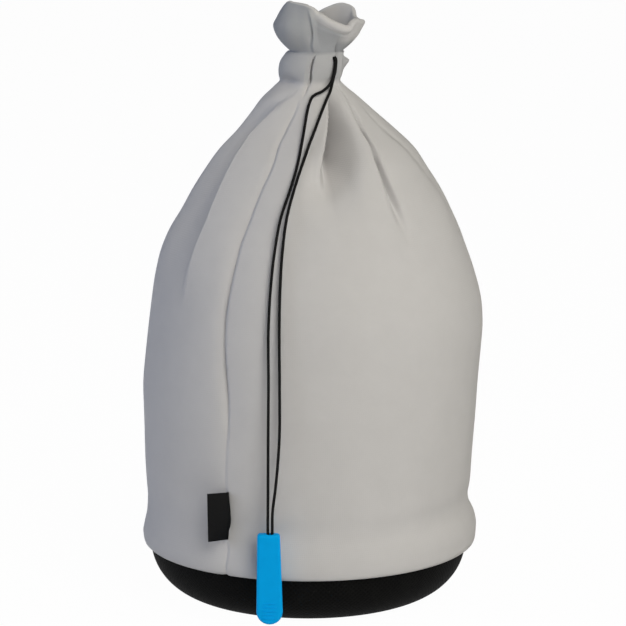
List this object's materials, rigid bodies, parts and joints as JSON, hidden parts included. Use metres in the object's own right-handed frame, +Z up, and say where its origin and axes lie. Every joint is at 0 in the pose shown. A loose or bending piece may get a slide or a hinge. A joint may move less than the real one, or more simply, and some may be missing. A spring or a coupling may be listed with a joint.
{
  "type": "drawstring lens pouch",
  "caption": "Padded drawstring pouch for a camera lens: grey cloth body gathered at the neck by a cord with a moulded pull, on a moulded black base, with a label in the side seam.",
  "frame": {"origin": "centre of the flat face under the base that the pouch stands on", "axes": "+Z up along the pouch to its mouth, -Y the front with the cords and the pull, +X to the right seen from the front"},
  "size_m": [0.1459, 0.1484, 0.2537],
  "materials": {
    "black_textile": "plain-woven nylon bonded to the base, slight sheen",
    "foam_cup": "moulded closed-cell foam",
    "pad_foam": "open-cell foam",
    "fleece": "brushed fleece",
    "binding_tape": "ribbed binding tape",
    "grey_cloth": "smooth matt softshell cloth",
    "label_satin": "woven satin",
    "black_cord": "round braided cord",
    "blue_vinyl": "soft moulded vinyl, satin"
  },
  "bodies": {
    "pouch": {"base_cover": "black_textile", "base_cup": "foam_cup", "base_pad": "pad_foam", "pad_fleece": "fleece", "rim_binding": "binding_tape", "body_shell": "grey_cloth", "side_seam_tape": "binding_tape", "neck_band": "grey_cloth", "mouth_frill": "grey_cloth", "cord_loop": "black_cord"},
    "label": {"side_label": "label_satin"},
    "drawstring": {"cord_tail_left": "black_cord", "cord_tail_right": "black_cord"},
    "pull": {"pull": "blue_vinyl", "cord_knot": "black_cord"}
  },
  "joints": [
    {"name": "label_flip", "type": "hinge", "parent": "pouch", "child": "label", "pos_m": [-0.03386, -0.06237, 0.0477], "axis": [0, 0, 1], "range_deg": [-45, 115], "stiffness_Nm_per_rad": 0.0005},
    {"name": "cord_swing", "type": "hinge", "parent": "pouch", "child": "drawstring", "pos_m": [0.0102, -0.0077, 0.2312], "axis": [-1, 0, 0], "range_deg": [0, 100]},
    {"name": "cord_slide", "type": "slide", "parent": "drawstring", "child": "pull", "axis": [0, 0, 1], "range_m": [0, 0.1], "deforming": ["cord_tail_left", "cord_tail_right"]}
  ]
}
